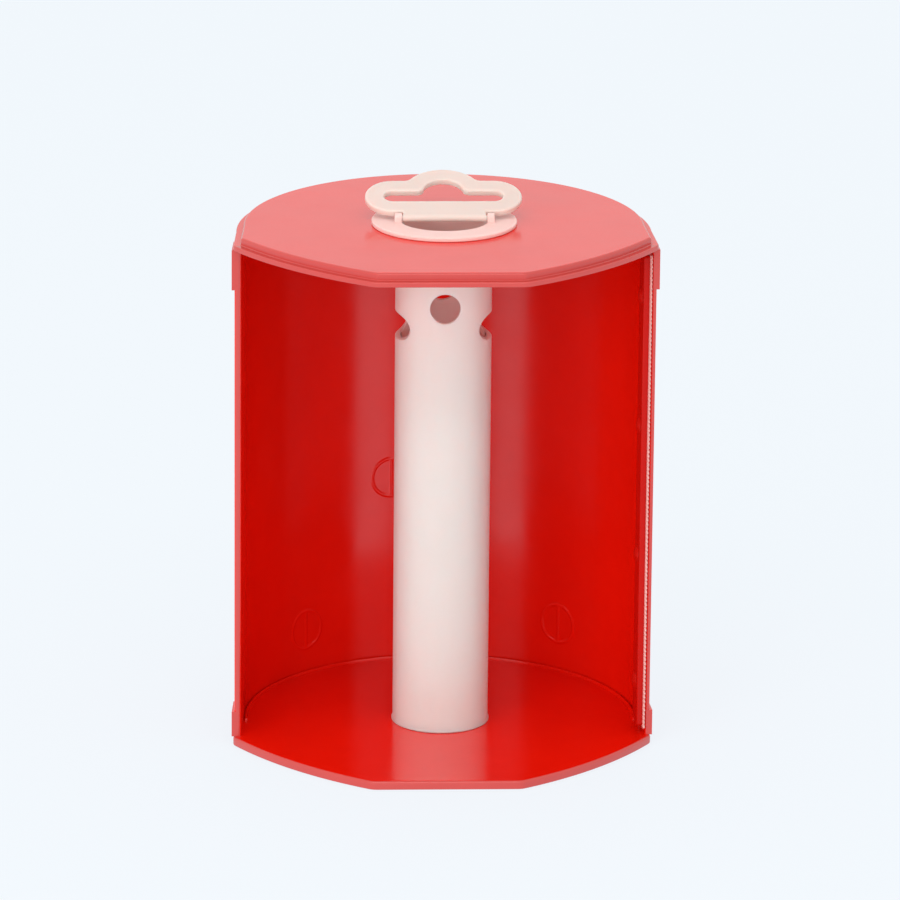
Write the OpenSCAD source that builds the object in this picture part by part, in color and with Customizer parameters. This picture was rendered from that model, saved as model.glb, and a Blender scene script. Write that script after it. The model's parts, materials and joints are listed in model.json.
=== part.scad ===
// Roll holder: a D-shaped case that is open at the front, a lift-out spindle with a folding
// hanger, and a serrated cutter along one side of the opening.
// Origin: on the spindle's axis, at the underside of the base. +Z is up, +Y is towards the
// rounded back, and +X is towards the side with the cutter.

/* [Case] */
// Width across the case at its front corners
case_w = 113.6; // [112:0.2:118]
// Height from the underside of the base to the top of the lid
case_h = 142.4; // [140:0.2:146]
// How far each side splays out between the round back and the front corner
side_flare = 1; // [0.4:0.2:1.6]
// How far the front corners stand in front of the spindle's axis
corner_y = 15; // [14.5:0.5:18]
// How far the flat front edge stands in front of the spindle's axis
front_y = 52.3; // [50:0.1:54]
// Width of the flat front edge
front_w = 40; // [38:1:44]
// How far the slanted front edges bow outwards at their middle
front_bow = 3.2; // [2:0.2:3.6]
// Thickness of the base
base_t = 2.4; // [2:0.2:3]
// Thickness of the lid's lower lip
lip_t = 1.4; // [1.2:0.2:2.2]
// Height of the lid's raised top above the lip
step_t = 2; // [1.6:0.2:2.4]
// How far the raised top is set in from the lip's edge
step_inset = 2; // [1.6:0.2:3]

/* [Wall] */
// Thickness of the curved wall
wall_t = 1.9; // [1.8:0.1:2.2]
// How far the wall is set in from the edges of the lid and the base
wall_inset = 0.3; // [0.2:0.1:1]
// Height of the locating ribs on the lid and the base
rib_h = 0.8; // [0.6:0.1:2]
// Thickness of the locating ribs
rib_t = 0.8; // [0.8:0.1:1.6]
// How far the corner lugs stand out from the wall
lug_out = 0.7; // [0.5:0.1:1.1]
// Height of the upper corner lugs
lug_top_h = 11; // [8:1:14]
// Height of the lower corner lugs
lug_low_h = 7; // [5:1:10]
// Diameter of the moulded ring marks inside the wall
mark_d = 12; // [9:1:13]

/* [Spindle] */
// Outer diameter of the spindle tube
tube_d = 26; // [25:0.5:26.5]
// Wall thickness of the spindle tube
tube_t = 1.5; // [1.4:0.1:1.6]
// Diameter of the hole drilled through the tube from front to back
cross_d = 8.2; // [7:0.2:9]
// Distance from the top of the lid down to the cross hole's axis
cross_drop = 20.3; // [19:0.1:21]
// Diameter of the round notches cut into the tube's sides
notch_d = 7.4; // [6:0.2:8]
// Distance from the top of the lid down to the notches' axis
notch_drop = 27.4; // [27:0.2:30]
// How far the foot's bead stands out from the tube
bead_out = 0.3; // [0.2:0.1:0.4]
// Height of the foot's bead
bead_h = 1; // [0.8:0.1:2]

/* [Hanger] */
// Diameter of the collar's flange
flange_d = 39; // [36:1:42]
// Thickness of the collar's flange
flange_t = 1.2; // [1:0.1:1.6]
// Diameter of the hole through the collar
collar_bore_d = 21.4; // [20.6:0.2:21.6]
// How much the mouth of the collar's hole widens to the flange's top, on each side
mouth_flare = 1.2; // [0.6:0.1:1.4]
// Length of the collar's sleeve inside the tube
sleeve_l = 12; // [10:1:13]
// Width of the hanger's slot, the standard euro slot
slot_w = 32; // [30:1:34]
// Height of the slot's straight part
slot_h = 4.8; // [4.6:0.1:5.2]
// Radius of the slot's middle arch
arch_r = 5.4; // [5:0.1:5.6]
// Width of the hanger's ring around the slot
ring_w = 5.1; // [4.6:0.1:5.6]
// Thickness of the hanger
tab_t = 1.9; // [1.6:0.1:1.9]
// Distance from the hinge's axis to the lower edge of the hanger's ring
neck_l = 1.9; // [1.9:0.1:4]
// How far the hinge's axis stands in front of the spindle's axis
hinge_y = 2.6; // [0:0.1:4]
// Width of the neck at the hinge
neck_w = 22.4; // [21.6:0.2:22.6]
// Angle of the hanger above horizontal as it leans back
lean = 18.9; // [15:0.1:30]

/* [Cutter] */
// Thickness of the blade
blade_t = 0.5; // [0.4:0.1:0.6]
// Width of the blade, teeth included
blade_w = 11; // [9:0.5:12]
// Distance between the tips of the teeth
tooth_pitch = 1.2; // [1:0.2:2]
// How far the tips stand out in front of the wall's end
tooth_out = 1.3; // [1:0.1:1.6]
// Thickness of the strip that holds the blade
strip_t = 1.6; // [1.4:0.1:1.8]
// Distance between neighbouring rivets
rivet_pitch = 36.2; // [32:0.2:37]
// Diameter of the rivets' shanks
rivet_d = 2.5; // [2:0.1:3]
// Diameter of the rivets' heads
rivet_head_d = 5; // [4.4:0.2:5.6]

/* [Hidden] */
fine = 128;      // facets of large rounds
small = 48;      // facets of small rounds
cut = 1;         // how far cutting shapes run past what they cut
red = [0.80, 0.11, 0.08];
red_dark = [0.66, 0.08, 0.06];
natural = [0.93, 0.88, 0.84];
steel = [0.78, 0.78, 0.80];

case_r = case_w / 2 - side_flare;        // radius of the round back
corner_x = case_w / 2;
flare_a = atan(side_flare / corner_y);  // a side's angle to the Y axis
lid_t = lip_t + step_t;
lid_z = case_h - lid_t;                 // underside of the lid
wall_h = lid_z - base_t;
wall_out_r = case_r - wall_inset;
wall_in_r = wall_out_r - wall_t;
wall_front_y = corner_y - 0.4;          // the wall ends just behind the corners
play = 0.2;                             // gap between a rib and the wall

// The slanted front edge is one arc through the corner and the end of the flat front edge.
front_x = front_w / 2;
chord = [corner_x - front_x, front_y - corner_y];
chord_l = norm(chord);
bow_r = (pow(chord_l / 2, 2) + pow(front_bow, 2)) / (2 * front_bow);
bow_mid = [(corner_x + front_x) / 2, -(front_y + corner_y) / 2];
bow_in = [-chord[1], chord[0]] / chord_l;
bow_c = bow_mid + (bow_r - front_bow) * bow_in;

tube_r = tube_d / 2;
tube_in_r = tube_r - tube_t;
foot_z = base_t + 0.1;                  // the tube's foot is just clear of the base
bead_r = tube_r + bead_out;
lid_hole_r = bead_r + 0.4;
spigot_r = tube_in_r - 0.3;
spigot_t = 1.8;
spigot_h = 8;
sleeve_r = tube_in_r - 0.05;            // running fit in the tube
cross_z = case_h - cross_drop;
notch_z = case_h - notch_drop;
tube_top_z = case_h - 0.1;

flange_z = case_h;
flange_top_z = flange_z + flange_t;
barrel_r = 1;
hinge_z = flange_top_z + barrel_r + 0.1;
trunnion_r = 0.7;
trunnion_l = 2.2;
ear_hole_r = trunnion_r + 0.05;
ear_r = 1.3;
ear_gap = 0.2;                          // between the barrel's end and an ear
ear_t = 2;
ear_x = neck_w / 2 + ear_gap;

ring_h = slot_h + 2 * ring_w;           // height of the hanger's ring
tab_w = slot_w + 2 * ring_w;
slot_y = neck_l + ring_w;               // lower edge of the slot, from the hinge's axis
arch_y = slot_y + slot_h;               // centre of the middle arch
fillet_r = neck_l - ear_r - 0.2;        // where the neck meets the ring, clear of the ears

// The cutter lies on the flat side of the wall, between the round back and the front corner.
// Its own x is 0 on the wall's inner face, and its own y is 0 where the round back begins.
pocket_d = blade_t + 0.1;
pocket_w = 10.2;
blade_tip_y = -(wall_front_y + tooth_out);
blade_l = wall_h - 3;
tooth_count = floor(blade_l / tooth_pitch);
tooth_h = 0.9;
strip_w = 8.6;
strip_front_y = wall_front_y - 0.7;
strip_l = wall_h - 4;
strip_mid_z = base_t + wall_h / 2;
rivet_y = -9.6;
rivet_z = [for (i = [-1.5, -0.5, 0.5, 1.5]) strip_mid_z + i * rivet_pitch];
rivet_bite = 0.9;                       // how deep a shank goes into the wall
head_h = 0.9;

// Each mark's direction, in degrees from the back towards -X, and its height.
marks = [[42, 15], [-40, 16], [13, 55.5]];
mark_out = 0.3;
mark_line = 1.2;

// Outline of the lid and the base, set in by a margin
module plate_outline(inset = 0) {
    intersection() {
        wall_outline(case_r - inset, front_y - inset);
        bow_disc(inset, 1);
        bow_disc(inset, -1);
    }
}

// Disc whose edge is one slanted front edge
module bow_disc(inset, side) {
    translate([side * bow_c[0], bow_c[1]]) circle(r = bow_r - inset, $fn = 4 * fine);
}

// Half a circle with splayed straight sides that run to the front
module wall_outline(r, front) {
    front_r = r + front * tan(flare_a);
    intersection() {
        circle(r = r, $fn = fine);
        translate([-r, 0]) square([2 * r, r]);
    }
    polygon([[-r, 0], [-front_r, -front], [front_r, -front], [r, 0]]);
}

// Places what is modelled against the inner face of the side with the cutter
module on_side() {
    translate([wall_in_r, 0, 0]) rotate([0, 0, flare_a]) children();
}

// Low rib that follows the inside of the wall
module locating_rib() {
    linear_extrude(rib_h) difference() {
        wall_outline(wall_in_r - play, 2);
        wall_outline(wall_in_r - play - rib_t, 2 + cut);
    }
}

// Ring with a bar across it, raised from the wall's inner face
module ring_mark(angle, height) {
    intersection() {
        translate([0, 0, height]) rotate([0, 0, angle]) rotate([-90, 0, 0])
            difference() {
                cylinder(d = mark_d, h = case_r, $fn = small);
                translate([0, 0, -cut]) difference() {
                    cylinder(d = mark_d - 2 * mark_line, h = case_r + 2 * cut, $fn = small);
                    translate([-mark_line / 2, -mark_d / 2, 0])
                        cube([mark_line, mark_d, case_r + 2 * cut]);
                }
            }
        difference() {
            cylinder(r = wall_in_r + wall_t / 2, h = case_h, $fn = fine);
            translate([0, 0, -cut])
                cylinder(r = wall_in_r - mark_out, h = case_h + 2 * cut, $fn = fine);
        }
    }
}

// Pads on the outside of the wall at both front corners
module corner_lugs(z, h) {
    lug_w = 9;
    translate([0, 0, z]) linear_extrude(h) intersection() {
        difference() {
            wall_outline(wall_out_r + lug_out, wall_front_y);
            wall_outline(wall_out_r - wall_t / 2, wall_front_y + cut);
        }
        translate([-case_w, -wall_front_y]) square([2 * case_w, lug_w]);
    }
}

module back_wall() {
    color(red) difference() {
        union() {
            translate([0, 0, base_t]) linear_extrude(wall_h) difference() {
                wall_outline(wall_out_r, wall_front_y);
                wall_outline(wall_in_r, wall_front_y + cut);
            }
            corner_lugs(lid_z - lug_top_h, lug_top_h);
            corner_lugs(base_t, lug_low_h);
            for (m = marks) ring_mark(m[0], m[1]);
        }
        on_side() {
            translate([-cut, -wall_front_y - cut, base_t + 1])
                cube([pocket_d + cut, pocket_w + cut, wall_h - 2]);
            for (z = rivet_z) translate([pocket_d - cut, rivet_y, z]) rotate([0, 90, 0])
                cylinder(d = rivet_d, h = rivet_bite + cut, $fn = small);
        }
    }
}

module top_plate() {
    color(red) difference() {
        union() {
            translate([0, 0, lid_z]) linear_extrude(lip_t) plate_outline();
            translate([0, 0, lid_z]) linear_extrude(lid_t) plate_outline(step_inset);
            translate([0, 0, lid_z - rib_h]) locating_rib();
        }
        translate([0, 0, lid_z - cut]) cylinder(r = lid_hole_r, h = lid_t + 2 * cut, $fn = fine);
    }
}

module bottom_plate() {
    color(red) {
        linear_extrude(base_t) plate_outline();
        translate([0, 0, base_t]) locating_rib();
        translate([0, 0, base_t]) difference() {
            cylinder(r = spigot_r, h = spigot_h, $fn = fine);
            cylinder(r = spigot_r - spigot_t, h = spigot_h + cut, $fn = fine);
        }
    }
}

module spindle_tube() {
    color(natural) difference() {
        union() {
            translate([0, 0, foot_z]) cylinder(r = tube_r, h = tube_top_z - foot_z, $fn = fine);
            translate([0, 0, foot_z]) cylinder(r = bead_r, h = bead_h / 2, $fn = fine);
            translate([0, 0, foot_z + bead_h / 2])
                cylinder(r1 = bead_r, r2 = tube_r, h = bead_h / 2, $fn = fine);
        }
        translate([0, 0, foot_z - cut])
            cylinder(r = tube_in_r, h = tube_top_z - foot_z + 2 * cut, $fn = fine);
        translate([0, case_r, cross_z]) rotate([90, 0, 0])
            cylinder(d = cross_d, h = case_w, $fn = small);
        for (side = [-1, 1]) translate([side * tube_r, case_r, notch_z]) rotate([90, 0, 0])
            cylinder(d = notch_d, h = case_w, $fn = small);
    }
}

module hanger_collar() {
    color(natural) difference() {
        union() {
            translate([0, 0, flange_z]) cylinder(d = flange_d, h = flange_t, $fn = fine);
            translate([0, 0, flange_z - sleeve_l]) cylinder(r = sleeve_r, h = sleeve_l + 0.1, $fn = fine);
            for (side = [-1, 1]) hinge_ear(side);
        }
        translate([0, 0, flange_z - sleeve_l - cut])
            cylinder(d = collar_bore_d, h = sleeve_l + flange_t + cut, $fn = fine);
        translate([0, 0, flange_z])
            cylinder(d1 = collar_bore_d, d2 = collar_bore_d + 2 * mouth_flare, h = flange_t, $fn = fine);
        for (side = [-1, 1]) translate([side * (ear_x + ear_t / 2), -hinge_y, hinge_z]) rotate([0, 90, 0])
            cylinder(r = ear_hole_r, h = ear_t + 2 * cut, center = true, $fn = small);
    }
}

// Upright ear that carries one end of the hanger's hinge
module hinge_ear(side) {
    x = side > 0 ? ear_x : -ear_x - ear_t;
    translate([x, -hinge_y - ear_r, flange_z]) cube([ear_t, 2 * ear_r, hinge_z - flange_z]);
    translate([x, -hinge_y, hinge_z]) rotate([0, 90, 0]) cylinder(r = ear_r, h = ear_t, $fn = small);
}

// Stadium shape, as wide and as high as given, with its lower edge at y
module stadium(w, h, y) {
    for (side = [-1, 1]) translate([side * (w - h) / 2, y + h / 2]) circle(d = h, $fn = small);
    translate([-(w - h) / 2, y]) square([w - h, h]);
}

// Flat outline of the hanger, with the hinge's axis along y = 0
module tab_outline() {
    difference() {
        union() {
            stadium(tab_w, ring_h, neck_l);
            translate([0, arch_y]) circle(r = arch_r + ring_w, $fn = fine);
            neck();
        }
        stadium(slot_w, slot_h, slot_y);
        translate([0, arch_y]) circle(r = arch_r, $fn = fine);
    }
}

// Neck between the hinge and the ring, with a fillet on either side
module neck() {
    fillet_x = neck_w / 2 + fillet_r;
    difference() {
        translate([-fillet_x, 0]) square([2 * fillet_x, neck_l + 1]);
        for (side = [-1, 1]) {
            translate([side * fillet_x, neck_l - fillet_r]) circle(r = fillet_r, $fn = small);
            translate([side * fillet_x - fillet_r, -cut])
                square([2 * fillet_r, neck_l - fillet_r + cut]);
        }
    }
}

module hanger_tab() {
    color(natural) translate([0, -hinge_y, hinge_z]) rotate([lean, 0, 0]) {
        translate([0, 0, -tab_t / 2]) linear_extrude(tab_t) tab_outline();
        rotate([0, 90, 0]) cylinder(r = barrel_r, h = neck_w, center = true, $fn = small);
        rotate([0, 90, 0])
            cylinder(r = trunnion_r, h = neck_w + 2 * trunnion_l, center = true, $fn = small);
    }
}

module cutter_blade() {
    back_y = blade_tip_y + blade_w;
    root_y = blade_tip_y + tooth_h;
    z0 = strip_mid_z - tooth_count * tooth_pitch / 2;
    teeth = [for (i = [0:2 * tooth_count])
        [i % 2 == 0 ? root_y : blade_tip_y, z0 + i * tooth_pitch / 2]];
    outline = concat([[back_y, z0]], teeth, [[back_y, z0 + tooth_count * tooth_pitch]]);
    color(steel) on_side() difference() {
        rotate([90, 0, 90]) linear_extrude(blade_t) polygon(outline);
        for (z = rivet_z) translate([-cut, rivet_y, z]) rotate([0, 90, 0])
            cylinder(d = rivet_d + 0.1, h = blade_t + 2 * cut, $fn = small);
    }
}

module blade_retainer() {
    color(red_dark) on_side() difference() {
        translate([-strip_t, -strip_front_y, strip_mid_z - strip_l / 2])
            cube([strip_t, strip_w, strip_l]);
        for (z = rivet_z) translate([-strip_t - cut, rivet_y, z]) rotate([0, 90, 0])
            cylinder(d = rivet_d + 0.1, h = strip_t + 2 * cut, $fn = small);
    }
}

module blade_rivets() {
    color(red_dark) on_side() for (z = rivet_z) translate([-strip_t, rivet_y, z])
        rotate([0, 90, 0]) rivet();
}

// Rivet with a domed head below z = 0 and its shank above
module rivet() {
    dome_r = (pow(rivet_head_d / 2, 2) + pow(head_h, 2)) / (2 * head_h);
    cylinder(d = rivet_d, h = strip_t + pocket_d + rivet_bite, $fn = small);
    intersection() {
        translate([0, 0, dome_r - head_h]) sphere(r = dome_r, $fn = small);
        translate([0, 0, -head_h]) cylinder(d = rivet_head_d, h = head_h, $fn = small);
    }
}

back_wall();
top_plate();
bottom_plate();
spindle_tube();
hanger_collar();
hanger_tab();
cutter_blade();
blade_retainer();
blade_rivets();
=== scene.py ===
import json
import math

import bmesh
import bpy
from mathutils import Matrix, Vector
from mathutils.geometry import tessellate_polygon


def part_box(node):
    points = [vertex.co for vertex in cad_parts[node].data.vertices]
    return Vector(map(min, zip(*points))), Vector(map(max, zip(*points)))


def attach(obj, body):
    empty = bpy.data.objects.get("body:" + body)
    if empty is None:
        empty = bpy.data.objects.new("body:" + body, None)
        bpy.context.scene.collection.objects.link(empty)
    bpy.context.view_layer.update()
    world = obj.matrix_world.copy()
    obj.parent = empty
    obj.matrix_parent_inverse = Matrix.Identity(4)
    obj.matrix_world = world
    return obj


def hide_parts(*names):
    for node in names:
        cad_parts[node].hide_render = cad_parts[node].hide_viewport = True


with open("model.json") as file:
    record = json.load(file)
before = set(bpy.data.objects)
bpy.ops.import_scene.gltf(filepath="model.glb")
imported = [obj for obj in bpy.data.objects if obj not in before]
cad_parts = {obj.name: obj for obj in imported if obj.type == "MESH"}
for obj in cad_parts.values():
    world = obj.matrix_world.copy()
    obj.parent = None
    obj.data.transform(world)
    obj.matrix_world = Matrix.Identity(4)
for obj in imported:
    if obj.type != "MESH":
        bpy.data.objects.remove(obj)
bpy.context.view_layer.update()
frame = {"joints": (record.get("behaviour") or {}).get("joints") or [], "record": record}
MM = 0.001

# ---------------------------------------------------------------- sizes, partly read from the frame
BASE_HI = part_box("bottom_plate")[1]
LID_LO, LID_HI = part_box("top_plate")
TUBE_LO, TUBE_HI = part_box("spindle_tube")
COLLAR_LO, COLLAR_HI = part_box("hanger_collar")
BLADE_LO, BLADE_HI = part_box("cutter_blade")
STRIP_LO, STRIP_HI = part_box("blade_retainer")
RIVET_LO, RIVET_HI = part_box("blade_rivets")
JOINTS = {joint["name"]: joint for joint in frame["joints"]}
MOUNTS = {mount["name"]: mount for mount in frame["record"]["mounts"]}

# The case
CORNER_X = LID_HI.x                     # the front corners
CORNER_Y = 15 * MM                      # how far they stand in front of the axis
CASE_R = LID_HI.y                       # the round back
SIDE_FLARE = CORNER_X - CASE_R          # how far each side splays out towards its corner
FLARE = math.atan2(SIDE_FLARE, CORNER_Y)
FRONT_Y = -LID_LO.y                     # the flat front edge
FRONT_X = 20 * MM                       # half its width
FRONT_BOW = 3.2 * MM                    # how far the slanted front edges bow outwards
PLATE_SOFT = 1.6 * MM                   # how far the corners of the lid and base are rounded, in plan
LID_TOP = LID_HI.z
LIP_T = 1.4 * MM                        # the lid's outer lip
STEP_T = 2.0 * MM                       # its raised top, above the lip
STEP_INSET = 2.0 * MM
LID_Z = LID_TOP - LIP_T - STEP_T        # underside of the lid
BASE_T = 2.4 * MM
WALL_T = 1.9 * MM
WALL_OUT_R = CASE_R - 0.3 * MM
WALL_IN_R = WALL_OUT_R - WALL_T
WALL_FRONT = CORNER_Y - 0.4 * MM
WALL_SOFT = 1.2 * MM                    # rounding of the wall's front ends, in plan
RIB_T = 0.8 * MM
RIB_H = 0.8 * MM
RIB_R = WALL_IN_R - 0.2 * MM
RIB_FRONT = 2 * MM                      # how far the rib's ends run in front of the axis
RIB_SINK = 0.2 * MM                     # how far it is sunk into its plate, to join it
LUG_OUT = 0.7 * MM                      # pads outside the wall, at its front corners
LUG_IN = 1 * MM
LUG_W = 9 * MM
LUG_TOP_H = 11 * MM
LUG_LOW_H = 7 * MM
MARKS = ((42, 15 * MM), (-40, 16 * MM), (13, 55.5 * MM))   # degrees from the back towards -X, height
MARK_R = 6 * MM
MARK_LINE = 1.2 * MM                    # width of a mark's lines
MARK_OUT = 0.2 * MM                     # how far they stand out

# The spindle, collar and hanger
TUBE_R = 13 * MM
TUBE_IN_R = 11.5 * MM
BEAD_R = TUBE_HI.x
BEAD_H = 1 * MM
CROSS_Z = MOUNTS["cross_hole"]["pos_m"][2]
CROSS_R = MOUNTS["cross_hole"]["dims"]["r_mm"] * MM
NOTCH_Z = LID_TOP - 27.4 * MM
NOTCH_R = 3.7 * MM
SPIGOT_R = 11.2 * MM
SPIGOT_T = 1.8 * MM
SPIGOT_SINK = 0.5 * MM
SPIGOT_TOP = BASE_HI.z
LID_HOLE_R = BEAD_R + 0.4 * MM
FLANGE_R = COLLAR_HI.x
FLANGE_T = 1.2 * MM
FLANGE_TOP = LID_TOP + FLANGE_T
COLLAR_IN_R = 10.7 * MM
MOUTH_FLARE = 1.2 * MM                  # how much the collar's hole widens at its mouth
SLEEVE_R = 11.45 * MM
HINGE = Vector(JOINTS["hanger_fold"]["pos_m"])
BARREL_R = 1.0 * MM
TRUNNION_R = 0.7 * MM
TRUNNION_L = 2.2 * MM
EAR_R = 1.3 * MM
EAR_T = 2.0 * MM
EAR_HOLE_R = 0.75 * MM
NECK_W = 22.4 * MM
EAR_X = NECK_W / 2 + 0.2 * MM
LEAN = math.radians(18.9)
SLOT_W = 32 * MM
SLOT_H = 4.8 * MM
ARCH_R = 5.4 * MM
ARCH_FILLET = 2 * MM
RING_W = 5.1 * MM                       # how wide the plate is all round the slot
RING_FILLET = 2.5 * MM
TAB_T = 1.9 * MM
TAB_SOFT = 0.55 * MM
NECK_L = 1.9 * MM
NECK_FILLET = 0.4 * MM

# The cutter, measured from the wall's inner face and from where the round back begins
BLADE_T = 0.5 * MM
BLADE_W = 11 * MM
BLADE_TIP = -WALL_FRONT - 1.3 * MM
TOOTH_PITCH = 1.2 * MM
TOOTH_H = 0.9 * MM
TOOTH_GRIND = 0.35 * MM                 # how far the ground bevel reaches back
STRIP_T = 1.6 * MM
STRIP_W = 8.6 * MM
STRIP_FRONT = -WALL_FRONT + 0.7 * MM
POCKET_D = BLADE_T + 0.1 * MM
POCKET_BACK = BLADE_TIP + BLADE_W + 0.5 * MM
RIVET_Y = -9.6 * MM
RIVET_R = 1.25 * MM
RIVET_HEAD_R = 2.5 * MM
RIVET_HEAD_H = 0.9 * MM
RIVET_BITE = 0.9 * MM                   # how far the shanks go into the wall
RIVETS = 4


# ---------------------------------------------------------------- meshes
SHARP_ANGLE = math.radians(38)          # edges sharper than this are shaded as edges
BEVEL_ANGLE = math.radians(40)          # and sharper than this are bevelled


def make_piece(name, bm, node, body, material, edge=None):
    """Turns a bmesh into a piece that rides on a body and stands for a CAD node.

    Faces with material index 1 are edges painted a paler colour, as painted reflection and painted
    highlight, and take the edge material.
    """
    bmesh.ops.recalc_face_normals(bm, faces=bm.faces)
    mesh = bpy.data.meshes.new(name)
    bm.to_mesh(mesh)
    bm.free()
    mesh.shade_smooth()
    mesh.set_sharp_from_angle(angle=SHARP_ANGLE)
    mesh.materials.append(material)
    if edge:
        mesh.materials.append(edge)
    piece = bpy.data.objects.new(name, mesh)
    bpy.context.collection.objects.link(piece)
    normals = piece.modifiers.new("flat_faces", "WEIGHTED_NORMAL")
    normals.keep_sharp = True
    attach(piece, body)
    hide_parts(node)
    return piece


def scratch_object(bm):
    bmesh.ops.remove_doubles(bm, verts=bm.verts, dist=1e-7)
    bmesh.ops.recalc_face_normals(bm, faces=bm.faces)
    mesh = bpy.data.meshes.new("scratch")
    bm.to_mesh(mesh)
    bm.free()
    scratch = bpy.data.objects.new("scratch", mesh)
    bpy.context.collection.objects.link(scratch)
    return scratch


def combined(first, others=(), operation="UNION", bevel=0):
    """Unites solids with the first one, or takes them out of it, then rounds its sharp edges."""
    blank = scratch_object(first)
    tools = [scratch_object(bm) for bm in others]
    for tool in tools:
        step = blank.modifiers.new("step", "BOOLEAN")
        step.operation = operation
        step.solver = "EXACT"
        step.object = tool
    if bevel:
        edge = blank.modifiers.new("edge", "BEVEL")
        edge.limit_method = "ANGLE"
        edge.angle_limit = BEVEL_ANGLE
        edge.width = bevel
        edge.segments = 3
    bpy.context.view_layer.update()
    result = bmesh.new()
    result.from_object(blank, bpy.context.evaluated_depsgraph_get())
    for scratch in [blank] + tools:
        bpy.data.objects.remove(scratch)
    return result


def mark_painted_sheen(bm, is_edge):
    """Gives the faces that get a paler colour, painted as reflection and highlight, material index 1."""
    bmesh.ops.recalc_face_normals(bm, faces=bm.faces)
    for face in bm.faces:
        face.material_index = 1 if is_edge(face.normal, face.calc_center_median()) else 0


def add_ring(bm, points):
    return [bm.verts.new(p) for p in points]


def bridge(bm, ring_a, ring_b):
    count = len(ring_a)
    for i in range(count):
        j = (i + 1) % count
        bm.faces.new((ring_a[i], ring_a[j], ring_b[j], ring_b[i]))


def cap(bm, rings):
    """Fills a flat face bounded by one outer ring and any holes."""
    flat = [v for ring in rings for v in ring]
    for triangle in tessellate_polygon([[v.co for v in ring] for ring in rings]):
        bm.faces.new([flat[k] for k in triangle])


def solid(*stacks):
    """Closed solid from stacks of rings, bottom to top: the outer boundary first, then the holes."""
    bm = bmesh.new()
    made = [[add_ring(bm, ring) for ring in stack] for stack in stacks]
    for stack in made:
        for low, high in zip(stack, stack[1:]):
            bridge(bm, low, high)
    cap(bm, [stack[0] for stack in made])
    cap(bm, [stack[-1] for stack in made])
    return bm


def lathe(profile, steps=160):
    """Closed solid of revolution about Z from a closed (radius, z) profile."""
    bm = bmesh.new()
    turns = [2 * math.pi * k / steps for k in range(steps)]
    rings = [add_ring(bm, [(r * math.cos(t), r * math.sin(t), z) for t in turns]) for r, z in profile]
    for a, b in zip(rings, rings[1:] + rings[:1]):
        bridge(bm, a, b)
    return bm


def offset_loop(loop, distance):
    """Moves each point of a closed 2D loop to the left of its direction of travel."""
    count = len(loop)
    moved = []
    for i in range(count):
        a, b, c = (Vector(loop[k]) for k in (i - 1, i, (i + 1) % count))
        d1, d2 = (b - a).normalized(), (c - b).normalized()
        n1, n2 = Vector((-d1.y, d1.x)), Vector((-d2.y, d2.x))
        mean = n1 + n2
        mean *= distance / max(mean.dot(n1), 0.35)
        moved.append((b.x + mean.x, b.y + mean.y))
    return moved


def side_profile(z0, z1, low_r, high_r, steps=4):
    """(inset, z) pairs of a straight side whose lower and upper edges are rounded."""
    angles = [math.pi / 2 * k / steps for k in range(steps + 1)]
    low = [(low_r * (1 - math.sin(a)), z0 + low_r * (1 - math.cos(a))) for a in angles]
    high = [(high_r * (1 - math.cos(a)), z1 - high_r * (1 - math.sin(a))) for a in angles]
    return (low if low_r else [(0, z0)]) + (high if high_r else [(0, z1)])


def stack_of(loop, profile, place=lambda x, y, z: (x, y, z)):
    """Rings of a 2D loop, given left-hand insets and heights, put in space by place()."""
    rings = []
    for inset, z in profile:
        ring = offset_loop(loop, inset) if inset else loop
        rings.append([place(x, y, z) for x, y in ring])
    return rings


def arc(cx, cy, r, a0, a1, steps):
    """Points on an arc, angles in degrees, both ends included."""
    return [(cx + r * math.cos(math.radians(a0 + (a1 - a0) * k / steps)),
             cy + r * math.sin(math.radians(a0 + (a1 - a0) * k / steps))) for k in range(steps + 1)]


def circle(r, steps):
    return arc(0, 0, r, 0, 360, steps)[:-1]


def soften(loop, reach, steps=4, sharp=math.radians(12)):
    """Rounds the corners of a closed loop that are sharper than an angle."""
    count = len(loop)
    soft = []
    for i in range(count):
        a, b, c = (Vector(loop[k]) for k in (i - 1, i, (i + 1) % count))
        if (b - a).angle(c - b) < sharp:
            soft.append(loop[i])
            continue
        start = b + (a - b).normalized() * min(reach, (a - b).length * 0.45)
        end = b + (c - b).normalized() * min(reach, (c - b).length * 0.45)
        for k in range(steps + 1):
            t = k / steps
            p = start * (1 - t) ** 2 + b * 2 * t * (1 - t) + end * t * t
            soft.append((p.x, p.y))
    return soft


def ring_profile(r0, r1, z0, z1, soft, steps=3):
    """Closed (radius, z) profile of a rectangular ring section with rounded edges."""
    corners = ((r1 - soft, z0 + soft, -90), (r1 - soft, z1 - soft, 0),
               (r0 + soft, z1 - soft, 90), (r0 + soft, z0 + soft, 180))
    points = []
    for cx, cz, a in corners:
        points += arc(cx, cz, soft, a, a + 90, steps)
    return points


# ---------------------------------------------------------------- outlines
def splayed(r, front, steps=6):
    """Right-hand side of the case from its front end back to the axis, at a radius from the axis."""
    return [(r + front * (1 - k / steps) * math.tan(FLARE), -front * (1 - k / steps))
            for k in range(steps)]


def mirrored(points):
    return [(-x, y) for x, y in reversed(points)]


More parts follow.
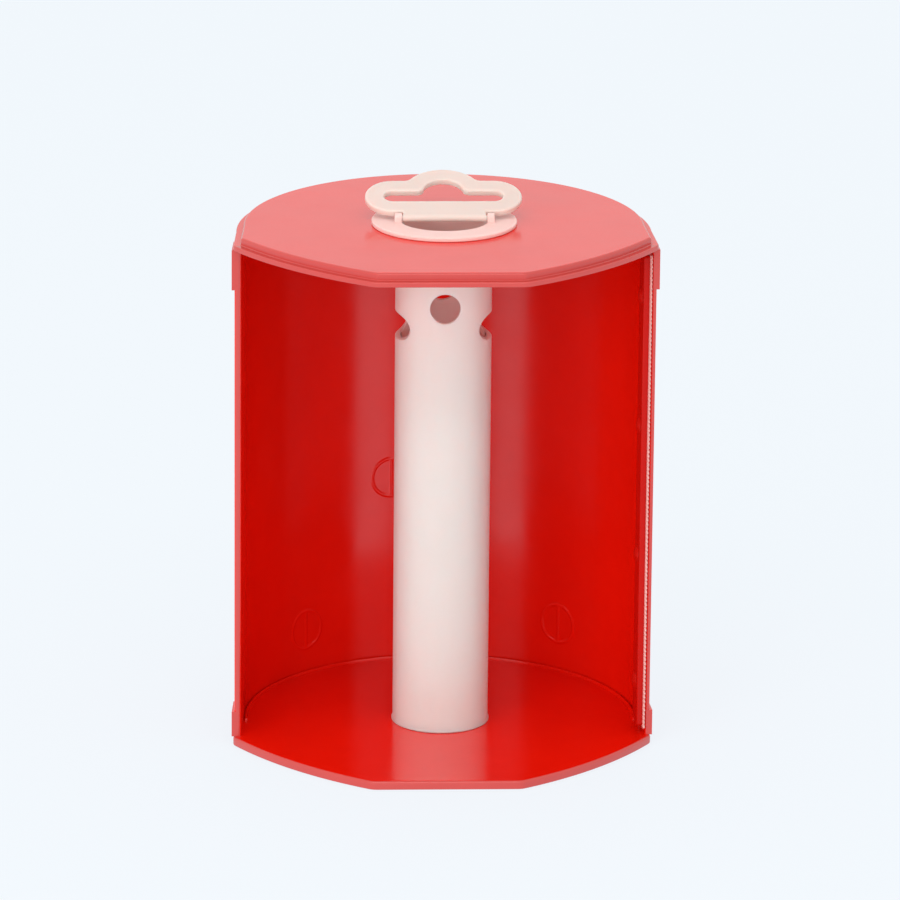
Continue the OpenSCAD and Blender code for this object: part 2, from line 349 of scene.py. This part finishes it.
def plate_loop():
    """Plan outline of the lid and the base, anticlockwise."""
    chord = Vector((CORNER_X - FRONT_X, FRONT_Y - CORNER_Y))
    bow_r = ((chord.length / 2) ** 2 + FRONT_BOW ** 2) / (2 * FRONT_BOW)
    inward = Vector((-chord.y, chord.x)).normalized()
    middle = Vector(((CORNER_X + FRONT_X) / 2, -(FRONT_Y + CORNER_Y) / 2))
    centre = middle + inward * (bow_r - FRONT_BOW)
    a0 = math.degrees(math.atan2(-FRONT_Y - centre.y, FRONT_X - centre.x))
    a1 = math.degrees(math.atan2(-CORNER_Y - centre.y, CORNER_X - centre.x))
    right = arc(centre.x, centre.y, bow_r, a0, a1, 24) + splayed(CASE_R, CORNER_Y)[1:]
    back = arc(0, 0, CASE_R, 0, 180, 96)
    flat = [(-FRONT_X + 2 * FRONT_X * k / 10, -FRONT_Y) for k in range(1, 10)]
    return right + back + mirrored(right) + flat


def wall_loop():
    """Plan outline of the curved wall, anticlockwise, with the blade's pocket at the +X end."""
    outside = splayed(WALL_OUT_R, WALL_FRONT)
    inside = splayed(WALL_IN_R, WALL_FRONT)
    pocket = [on_side(0, POCKET_BACK, 0)[:2], on_side(POCKET_D, POCKET_BACK, 0)[:2],
              on_side(POCKET_D, -WALL_FRONT, 0)[:2]]
    return (outside + arc(0, 0, WALL_OUT_R, 0, 180, 120) + mirrored(outside)
            + mirrored(list(reversed(inside))) + arc(0, 0, WALL_IN_R, 180, 0, 120) + pocket)


def rib_loop():
    """Plan outline of the locating rib: a half ring with short straight ends."""
    outer = splayed(RIB_R, RIB_FRONT, 2) + arc(0, 0, RIB_R, 0, 180, 96)
    inner = splayed(RIB_R - RIB_T, RIB_FRONT, 2) + arc(0, 0, RIB_R - RIB_T, 0, 180, 96)
    return (outer + mirrored(splayed(RIB_R, RIB_FRONT, 2))
            + list(reversed(inner + mirrored(splayed(RIB_R - RIB_T, RIB_FRONT, 2)))))


def on_side(x, y, z):
    """From the splayed side with the cutter, where x is 0 on the wall's inner face, to the frame."""
    return (WALL_IN_R + x * math.cos(FLARE) - y * math.sin(FLARE),
            x * math.sin(FLARE) + y * math.cos(FLARE), z)


def arch_over(w, h, y, arch_y, r, fillet):
    """Stadium outline whose upper edge rises over a filleted arch in the middle, anticlockwise."""
    half = (w - h) / 2
    top = y + h
    rise = top + fillet - arch_y
    cx = math.sqrt((r + fillet) ** 2 - rise ** 2)
    a = math.degrees(math.atan2(rise, cx))
    right = arc(half, y + h / 2, h / 2, -90, 90, 20) + arc(cx, top + fillet, fillet, 270, 180 + a, 8)
    return right + arc(0, arch_y, r, a, 180 - a, 24)[1:-1] + mirrored(right)


# ---------------------------------------------------------------- materials
def srgb(r, g, b):
    """Linear colour from 0-255 sRGB values."""
    def lin(c):
        c /= 255
        return c / 12.92 if c <= 0.04045 else ((c + 0.055) / 1.055) ** 2.4
    return (lin(r), lin(g), lin(b), 1)


def new_material(name):
    material = bpy.data.materials.new(name)
    material.use_nodes = True
    tree = material.node_tree
    shader = tree.nodes["Principled BSDF"]
    return material, tree, shader


def add_noise(tree, scale, detail=2.0, stretch=(1, 1, 1), rough=0.5):
    """Noise in the object's own metres, stretched along an axis."""
    place = tree.nodes.new("ShaderNodeTexCoord")
    mapping = tree.nodes.new("ShaderNodeMapping")
    mapping.inputs["Scale"].default_value = stretch
    noise = tree.nodes.new("ShaderNodeTexNoise")
    noise.inputs["Scale"].default_value = scale
    noise.inputs["Detail"].default_value = detail
    noise.inputs["Roughness"].default_value = rough
    tree.links.new(place.outputs["Object"], mapping.inputs["Vector"])
    tree.links.new(mapping.outputs["Vector"], noise.inputs["Vector"])
    return noise.outputs["Fac"]


def vary_colour(tree, shader, fac, a, b):
    ramp = tree.nodes.new("ShaderNodeMix")
    ramp.data_type = "RGBA"
    ramp.inputs["A"].default_value = a
    ramp.inputs["B"].default_value = b
    tree.links.new(fac, ramp.inputs["Factor"])
    tree.links.new(ramp.outputs["Result"], shader.inputs["Base Color"])


def vary_roughness(tree, shader, fac, low, high):
    span = tree.nodes.new("ShaderNodeMapRange")
    span.inputs["From Min"].default_value = 0.3
    span.inputs["From Max"].default_value = 0.7
    span.inputs["To Min"].default_value = low
    span.inputs["To Max"].default_value = high
    tree.links.new(fac, span.inputs["Value"])
    tree.links.new(span.outputs["Result"], shader.inputs["Roughness"])


def add_bump(tree, shader, layers):
    """Chain of bumps: each layer is (height, strength, distance in metres)."""
    last = None
    for height, strength, distance in layers:
        bump = tree.nodes.new("ShaderNodeBump")
        bump.inputs["Strength"].default_value = strength
        bump.inputs["Distance"].default_value = distance
        tree.links.new(height, bump.inputs["Height"])
        if last:
            tree.links.new(last, bump.inputs["Normal"])
        last = bump.outputs["Normal"]
    tree.links.new(last, shader.inputs["Normal"])


def red_plastic(name, light, dark, rough, specular=0.5):
    """Semi-gloss moulded plastic: soft clouds of colour, faint flow waves and a fine grain."""
    material, tree, shader = new_material(name)
    vary_colour(tree, shader, add_noise(tree, 50, 8, rough=0.75), light, dark)
    vary_roughness(tree, shader, add_noise(tree, 90, 3), rough - 0.03, rough + 0.04)
    waves = add_noise(tree, 30, 0)
    grain = add_noise(tree, 1500, 2)
    add_bump(tree, shader, ((waves, 0.05, 0.2 * MM), (grain, 0.04, 0.01 * MM)))
    shader.inputs["IOR"].default_value = 1.62
    shader.inputs["Specular IOR Level"].default_value = specular
    return material


def natural_plastic(name, light, dark, rough, share, depth):
    """Milky plastic with flow lines along Z, into which a share of the light soaks to a depth."""
    material, tree, shader = new_material(name)
    vary_colour(tree, shader, add_noise(tree, 60, 3, (1, 1, 0.3)), light, dark)
    vary_roughness(tree, shader, add_noise(tree, 200, 4), rough - 0.05, rough + 0.07)
    drawn = add_noise(tree, 500, 3, (1, 1, 0.06))
    grain = add_noise(tree, 1500, 2)
    add_bump(tree, shader, ((drawn, 0.06, 0.05 * MM), (grain, 0.04, 0.01 * MM)))
    shader.inputs["IOR"].default_value = 1.5
    shader.inputs["Subsurface Weight"].default_value = share
    shader.inputs["Subsurface Radius"].default_value = (1.0, 0.65, 0.6)
    shader.inputs["Subsurface Scale"].default_value = depth
    return material


def brushed_steel(name):
    """Satin steel with fine lines along Z, whose pink tint is painted reflection of the red around it."""
    material, tree, shader = new_material(name)
    vary_colour(tree, shader, add_noise(tree, 900, 3, (1, 1, 0.05)),
                srgb(255, 208, 201), srgb(244, 190, 183))
    vary_roughness(tree, shader, add_noise(tree, 700, 4, (1, 1, 0.04)), 0.32, 0.48)
    add_bump(tree, shader, ((add_noise(tree, 3000, 2, (1, 1, 0.05)), 0.05, 0.01 * MM),))
    shader.inputs["Metallic"].default_value = 0.3
    return material


RED = red_plastic("red_case", srgb(234, 24, 5), srgb(216, 17, 3), 0.17)
# Paler red for the plates' rims, the lid's lip and the wall's front ends: painted reflection of the bright
# light in front and painted highlight on the rounded edges.
RED_EDGE_PAINTED_SHEEN = red_plastic("red_edge_painted_sheen", srgb(203, 68, 62), srgb(189, 55, 51), 0.2)
# Darker red for the retainer and rivets than for the case: painted shade for the retainer's front face.
RED_STRIP_PAINTED_SHADE = red_plastic("red_strip", srgb(196, 18, 7), srgb(176, 13, 5), 0.3, 0.12)
# The tube and collar are whitish plastic of their own; the pink in these colours is painted red bounce
# light from the case around them.
TUBE_WHITE = natural_plastic("tube_plastic", srgb(255, 213, 207), srgb(253, 206, 200),
                             rough=0.33, share=1.0, depth=6 * MM)
COLLAR_WHITE = natural_plastic("collar_plastic", srgb(246, 206, 200), srgb(241, 198, 191),
                               rough=0.36, share=0.6, depth=1 * MM)
TAB_WHITE = natural_plastic("tab_plastic", srgb(225, 208, 200), srgb(218, 200, 191),
                            rough=0.34, share=0.8, depth=2 * MM)
STEEL = brushed_steel("blade_steel")


# ---------------------------------------------------------------- the case
def rib(z0, z1, low_r, high_r):
    """Half-round rib that locates the wall, on the lid or the base."""
    return solid(stack_of(soften(rib_loop(), 0.35 * MM), side_profile(z0, z1, low_r, high_r, 2)))


def rim_face(normal, centre):
    """True for the faces around a plate's outside, and for the lip before the raised top; these take a
    paler red as painted reflection and painted highlight.
    """
    outside = centre.xy.length > 2 * LID_HOLE_R and not BASE_T < centre.z < LID_Z
    lip = normal.z > 0.85 and LID_Z < centre.z < LID_TOP - 0.5 * MM and centre.y < -CORNER_Y
    return outside and (lip or abs(normal.z) < 0.93)


def lid():
    """Lid: a lip with a raised top set in from it, a round hole, and a rib below."""
    lip_top = LID_Z + LIP_T
    lip = side_profile(LID_Z, lip_top, 0.25 * MM, 0.35 * MM)
    corner = [(STEP_INSET - 0.2 * MM, lip_top), (STEP_INSET, lip_top + 0.2 * MM)]
    raised = [(STEP_INSET + inset, z) for inset, z in side_profile(lip_top, LID_TOP, 0, 0.7 * MM, 5)[1:]]
    loop = soften(plate_loop(), PLATE_SOFT)
    hole = list(reversed(circle(LID_HOLE_R, 96)))
    plate = solid(stack_of(loop, lip + corner + raised),
                  stack_of(hole, side_profile(LID_Z, LID_TOP, 0.3 * MM, 0.3 * MM)))
    bm = combined(plate, [rib(LID_Z - RIB_H, LID_Z + RIB_SINK, 0.25 * MM, 0)])
    mark_painted_sheen(bm, rim_face)
    return make_piece("lid", bm, "top_plate", "case", RED, RED_EDGE_PAINTED_SHEEN)


def base():
    """Base plate with the locating rib and the spindle's spigot."""
    edge = side_profile(0, BASE_T, 0.35 * MM, 0.8 * MM, 5)
    plate = solid(stack_of(soften(plate_loop(), PLATE_SOFT), edge))
    spigot_in_r = SPIGOT_R - SPIGOT_T
    spigot = lathe(ring_profile(spigot_in_r, SPIGOT_R, BASE_T - SPIGOT_SINK, SPIGOT_TOP, 0.4 * MM))
    bm = combined(plate, [rib(BASE_T - RIB_SINK, BASE_T + RIB_H, 0, 0.3 * MM), spigot])
    mark_painted_sheen(bm, rim_face)
    return make_piece("base", bm, "bottom_plate", "case", RED, RED_EDGE_PAINTED_SHEEN)


def on_wall(angle, height, u, v, out):
    """Point on the wall's inner face, u across and v up from a mark's centre."""
    a = math.radians(90 + angle) + u / WALL_IN_R
    r = WALL_IN_R - out
    return (r * math.cos(a), r * math.sin(a), height + v)


# (across, out) pairs, as shares of its width and height, of a soft line that stands on the wall
LINE_RISE = ((0.0, -0.6), (0.0, 0.05), (0.12, 0.3), (0.28, 0.75), (0.42, 0.97))
LINE_SECTION = LINE_RISE + tuple((1 - across, out) for across, out in reversed(LINE_RISE))


def mark_ring(angle, height):
    """Raised ring on the wall, as a mould insert leaves."""
    bm = bmesh.new()
    rings = []
    for across, out in LINE_SECTION:
        r = MARK_R - MARK_LINE * (1 - across)
        rings.append(add_ring(bm, [on_wall(angle, height, u, v, MARK_OUT * out) for u, v in circle(r, 56)]))
    for a, b in zip(rings, rings[1:] + rings[:1]):
        bridge(bm, a, b)
    return bm


def mark_bar(angle, height):
    """Upright bar across a mark's ring."""
    half = MARK_R - MARK_LINE / 2
    bar_out = 0.95 * MARK_OUT           # just under the ring, so that no two faces lie in one plane
    ends = [[on_wall(angle, height, MARK_LINE * (across - 0.5), v, bar_out * out)
             for across, out in LINE_SECTION] for v in (-half, half)]
    return solid(ends)


def lug(side, z, h):
    """Pad on the outside of the wall at a front corner."""
    x_in, x_out = WALL_OUT_R - LUG_IN, WALL_OUT_R + LUG_OUT
    splay = math.tan(FLARE)
    rear = LUG_W - WALL_FRONT
    plan = [(x_in + WALL_FRONT * splay, -WALL_FRONT), (x_out + WALL_FRONT * splay, -WALL_FRONT),
            (x_out - rear * splay, rear), (x_in - rear * splay, rear)]
    return solid([[(side * x, y, height) for x, y in plan] for height in (z, z + h)])


def wall():
    """Curved wall with its corner lugs and ring marks."""
    blank = solid(stack_of(soften(wall_loop(), WALL_SOFT, 6), [(0, BASE_T), (0, LID_Z)]))
    lugs = [lug(side, z, h) for side in (-1, 1)
            for z, h in ((LID_Z - LUG_TOP_H, LUG_TOP_H), (BASE_T, LUG_LOW_H))]
    shell = combined(blank, lugs, bevel=0.3 * MM)
    marks = [make(*mark) for mark in MARKS for make in (mark_ring, mark_bar)]
    bm = combined(shell, marks)
    front_end = 0.5 * MM - WALL_FRONT
    # The wall's front end faces take the paler red of painted reflection.
    mark_painted_sheen(bm, lambda normal, centre: normal.y < -0.85 and centre.y < front_end)
    return make_piece("wall", bm, "back_wall", "case", RED, RED_EDGE_PAINTED_SHEEN)


# ---------------------------------------------------------------- the spindle
def rod(r, x, z):
    """Rod along Y that drills the tube."""
    reach = 20 * MM
    return solid([[(x + u, y, z + v) for u, v in circle(r, 64)] for y in (-reach, reach)])


def spindle():
    """Hollow spindle tube, drilled front to back and notched at its sides."""
    top, foot = TUBE_HI.z, TUBE_LO.z
    shaft = foot + BEAD_H
    rows = 34                           # so that its quads stay short
    profile = [(TUBE_IN_R, foot), (BEAD_R - 0.15 * MM, foot), (BEAD_R, foot + 0.2 * MM),
               (BEAD_R, foot + BEAD_H / 2), (TUBE_R, shaft)]
    profile += [(TUBE_R, shaft + (top - shaft) * k / rows) for k in range(1, rows + 1)]
    profile += [(TUBE_IN_R, foot + (top - foot) * (1 - k / rows)) for k in range(rows)]
    rods = [rod(CROSS_R, 0, CROSS_Z), rod(NOTCH_R, TUBE_R, NOTCH_Z), rod(NOTCH_R, -TUBE_R, NOTCH_Z)]
    bm = combined(lathe(profile, 144), rods, "DIFFERENCE", 0.2 * MM)
    return make_piece("spindle", bm, "spindle_tube", "tube", TUBE_WHITE)


def ear(side):
    """Upright ear that carries one end of the hanger's hinge, drilled for its pin."""
    root = FLANGE_TOP - 0.6 * MM
    outer = [(HINGE.y - EAR_R, root), (HINGE.y + EAR_R, root)] + arc(HINGE.y, HINGE.z, EAR_R, 0, 180, 16)
    hole = list(reversed([(HINGE.y + u, HINGE.z + v) for u, v in circle(EAR_HOLE_R, 24)]))
    x0, x1 = EAR_X, EAR_X + EAR_T
    soft = side_profile(x0, x1, 0.4 * MM, 0.4 * MM)
    place = lambda y, z, x: (side * x, y, z)
    return solid(stack_of(outer, soft, place), stack_of(hole, [(0, x0), (0, x1)], place))


def collar():
    """Flange on the lid, its sleeve inside the tube, and the two ears of the hanger's hinge."""
    soft = 0.35 * MM
    bottom = COLLAR_LO.z
    mouth_r = COLLAR_IN_R + MOUTH_FLARE
    section = (arc(FLANGE_R - soft, LID_TOP + soft, soft, -90, 0, 3)
               + arc(FLANGE_R - soft, FLANGE_TOP - soft, soft, 0, 90, 3)
               + [(mouth_r + 0.3 * MM, FLANGE_TOP), (mouth_r, FLANGE_TOP - 0.12 * MM),
                  (COLLAR_IN_R + 0.1 * MM, LID_TOP), (COLLAR_IN_R, LID_TOP - 0.2 * MM),
                  (COLLAR_IN_R, bottom + 0.1 * MM), (COLLAR_IN_R + 0.1 * MM, bottom),
                  (SLEEVE_R - 0.25 * MM, bottom), (SLEEVE_R, bottom + 0.4 * MM), (SLEEVE_R, LID_TOP)])
    bm = combined(lathe(section, 144), [ear(1), ear(-1)])
    return make_piece("collar", bm, "hanger_collar", "collar", COLLAR_WHITE)


def in_tab(x, y, z):
    """From the hanger's own plane, with the hinge along its x axis, to the frame at rest."""
    return (x, HINGE.y + y * math.cos(LEAN) - z * math.sin(LEAN),
            HINGE.z + y * math.sin(LEAN) + z * math.cos(LEAN))


def tab_loop():
    """Outline of the hanger's ring, arch and neck, anticlockwise from the right of the neck."""
    ring = arch_over(SLOT_W + 2 * RING_W, SLOT_H + 2 * RING_W, NECK_L,
                     NECK_L + RING_W + SLOT_H, ARCH_R + RING_W, RING_FILLET)
    half = NECK_W / 2
    right = arc(half + NECK_FILLET, NECK_L - NECK_FILLET, NECK_FILLET, 180, 90, 5)
    return [(half, 0)] + right + ring + mirrored(right) + [(-half, 0)]


def pin(r, half):
    """Round bar along the hanger's hinge."""
    ends = side_profile(-half, half, 0.2 * MM, 0.2 * MM, 2)
    return solid(stack_of(circle(r, 32), ends, lambda y, z, x: in_tab(x, y, z)))


def tab():
    """Folding hanger with its euro slot, hinge barrel and two hinge pins."""
    slot_y = NECK_L + RING_W
    slot = arch_over(SLOT_W, SLOT_H, slot_y, slot_y + SLOT_H, ARCH_R, ARCH_FILLET)
    profile = side_profile(-TAB_T / 2, TAB_T / 2, TAB_SOFT, TAB_SOFT)
    plate = solid(stack_of(soften(tab_loop(), 1.0 * MM), profile, in_tab),
                  stack_of(list(reversed(slot)), profile, in_tab))
    bm = combined(plate, [pin(BARREL_R, NECK_W / 2), pin(TRUNNION_R, NECK_W / 2 + TRUNNION_L)])
    return make_piece("hanger", bm, "hanger_tab", "hanger", TAB_WHITE)


# ---------------------------------------------------------------- the cutter
def blade():
    """Thin strip with a toothed front edge, ground to a bevel on both faces."""
    z0, z1 = BLADE_LO.z, BLADE_HI.z
    count = round((z1 - z0) / TOOTH_PITCH)
    back = BLADE_TIP + BLADE_W
    bm = bmesh.new()
    rows = []
    for i in range(2 * count + 1):
        z = z0 + i * TOOTH_PITCH / 2
        y = BLADE_TIP + (TOOTH_H if i % 2 == 0 else 0)
        ground = y + TOOTH_GRIND
        rows.append(add_ring(bm, [on_side(BLADE_T / 2, y, z), on_side(BLADE_T, ground, z),
                                  on_side(BLADE_T, back, z), on_side(0, back, z),
                                  on_side(0, ground, z)]))
    for a, b in zip(rows, rows[1:]):
        bridge(bm, a, b)
    bm.faces.new(rows[0])
    bm.faces.new(rows[-1])
    return make_piece("blade", bm, "cutter_blade", "case", STEEL)


def retainer():
    """Strip that clamps the blade, with rounded edges."""
    back = STRIP_FRONT + STRIP_W
    loop = soften([(STRIP_FRONT, STRIP_LO.z), (back, STRIP_LO.z), (back, STRIP_HI.z),
                   (STRIP_FRONT, STRIP_HI.z)], 1.0 * MM)
    bm = solid(stack_of(loop, side_profile(-STRIP_T, 0, 0.4 * MM, 0.1 * MM),
                        lambda y, z, x: on_side(x, y, z)))
    return make_piece("retainer", bm, "blade_retainer", "case", RED_STRIP_PAINTED_SHADE)


def rivets():
    """Domed rivet heads on the retainer, each with its shank."""
    dome_r = (RIVET_HEAD_R ** 2 + RIVET_HEAD_H ** 2) / (2 * RIVET_HEAD_H)
    rings = [(RIVET_R, POCKET_D + RIVET_BITE), (RIVET_R, -STRIP_T + 0.02 * MM)]
    steps = 8
    for k in range(steps):
        r = RIVET_HEAD_R * math.cos(math.pi / 2 * k / steps)
        height = math.sqrt(dome_r ** 2 - r * r) - (dome_r - RIVET_HEAD_H)
        rings.append((r, -STRIP_T - height))
    first, last = RIVET_LO.z + RIVET_HEAD_R, RIVET_HI.z - RIVET_HEAD_R
    bm = bmesh.new()
    for i in range(RIVETS):
        z = first + (last - first) * i / (RIVETS - 1)
        one = solid([[on_side(x, RIVET_Y + u, z + v) for u, v in circle(r, 32)] for r, x in rings])
        mesh = bpy.data.meshes.new("one_rivet")
        one.to_mesh(mesh)
        one.free()
        bm.from_mesh(mesh)
        bpy.data.meshes.remove(mesh)
    return make_piece("rivets", bm, "blade_rivets", "case", RED_STRIP_PAINTED_SHADE)


# ---------------------------------------------------------------- the studio
PALE = (0.871, 0.930, 0.982)            # colour of the studio's floor
SKY = (0.95, 0.94, 0.93)                # colour of the light from all around
FLOOR_GLOW = 0.875                      # light that the floor gives off itself
FLOOR_GREY = (0.115, 0.12)              # how much of the light on it the floor throws back
FLOOR_HALF = 8                          # metres
FLOOR_Z = -0.2 * MM


def floor():
    """Large pale floor that glows a little, as a light table does, so shadows stay faint."""
    bm = bmesh.new()
    corners = ((-1, -1), (1, -1), (1, 1), (-1, 1))
    bm.faces.new(add_ring(bm, [(x * FLOOR_HALF, y * FLOOR_HALF, FLOOR_Z) for x, y in corners]))
    mesh = bpy.data.meshes.new("floor")
    bm.to_mesh(mesh)
    bm.free()
    plane = bpy.data.objects.new("floor", mesh)
    bpy.context.collection.objects.link(plane)
    material, tree, shader = new_material("pale_floor")
    vary_colour(tree, shader, add_noise(tree, 3, 2), *((grey, grey, grey, 1) for grey in FLOOR_GREY))
    shader.inputs["Roughness"].default_value = 0.9
    shader.inputs["Specular IOR Level"].default_value = 0.0
    shader.inputs["Emission Color"].default_value = (*PALE, 1)
    shader.inputs["Emission Strength"].default_value = FLOOR_GLOW
    mesh.materials.append(material)


def area_light(name, place, aim, size, power, glossy):
    """Rectangular soft light in metres and watts, seen or not seen in reflections."""
    light = bpy.data.lights.new(name, "AREA")
    light.shape = "RECTANGLE"
    light.size, light.size_y = size
    light.energy = power
    lamp = bpy.data.objects.new(name, light)
    lamp.location = place
    lamp.rotation_euler = (Vector(aim) - Vector(place)).to_track_quat("-Z", "Y").to_euler()
    lamp.visible_glossy = glossy
    bpy.context.collection.objects.link(lamp)


def studio():
    floor()
    world = bpy.data.worlds.new("studio")
    bpy.context.scene.world = world
    world.use_nodes = True
    sky = world.node_tree.nodes["Background"]
    sky.inputs["Color"].default_value = (*SKY, 1)
    sky.inputs["Strength"].default_value = 1.0
    area_light("key", place=(-0.75, -1.45, 0.42), aim=(0, 0, 0.07), size=(1.4, 0.8),
               power=11, glossy=False)
    area_light("edge_strip", place=(-0.1, -0.9, 1.2), aim=(0, -0.03, 0), size=(1.4, 0.14),
               power=3.4, glossy=True)
    bpy.context.scene.view_settings.view_transform = "Standard"


ELEVATION = math.radians(16.72)         # the camera looks down by this much
YAW = math.radians(2.47)                # and is turned this far towards the side with the cutter
ROLL = math.radians(0.52)
DISTANCE = 1.956                        # metres from the point it looks at
AIM = Vector((2.1 * MM, 0, 79 * MM))
SENSOR = 36                             # millimetres
LENS = 289


def camera():
    """Long lens, a little above the object and turned a little to its left."""
    ahead = Vector((math.sin(YAW) * math.cos(ELEVATION), math.cos(YAW) * math.cos(ELEVATION),
                    -math.sin(ELEVATION)))
    data = bpy.data.cameras.new("camera")
    data.sensor_width = SENSOR
    data.lens = LENS
    data.clip_end = 30
    eye = bpy.data.objects.new("camera", data)
    turn = ahead.to_track_quat("-Z", "Y").to_matrix().to_4x4()
    eye.matrix_world = Matrix.Translation(AIM - ahead * DISTANCE) @ turn @ Matrix.Rotation(ROLL, 4, "Z")
    bpy.context.collection.objects.link(eye)
    bpy.context.scene.camera = eye


camera()
studio()
for make in (lid, base, wall, spindle, collar, tab, blade, retainer, rivets):
    make()
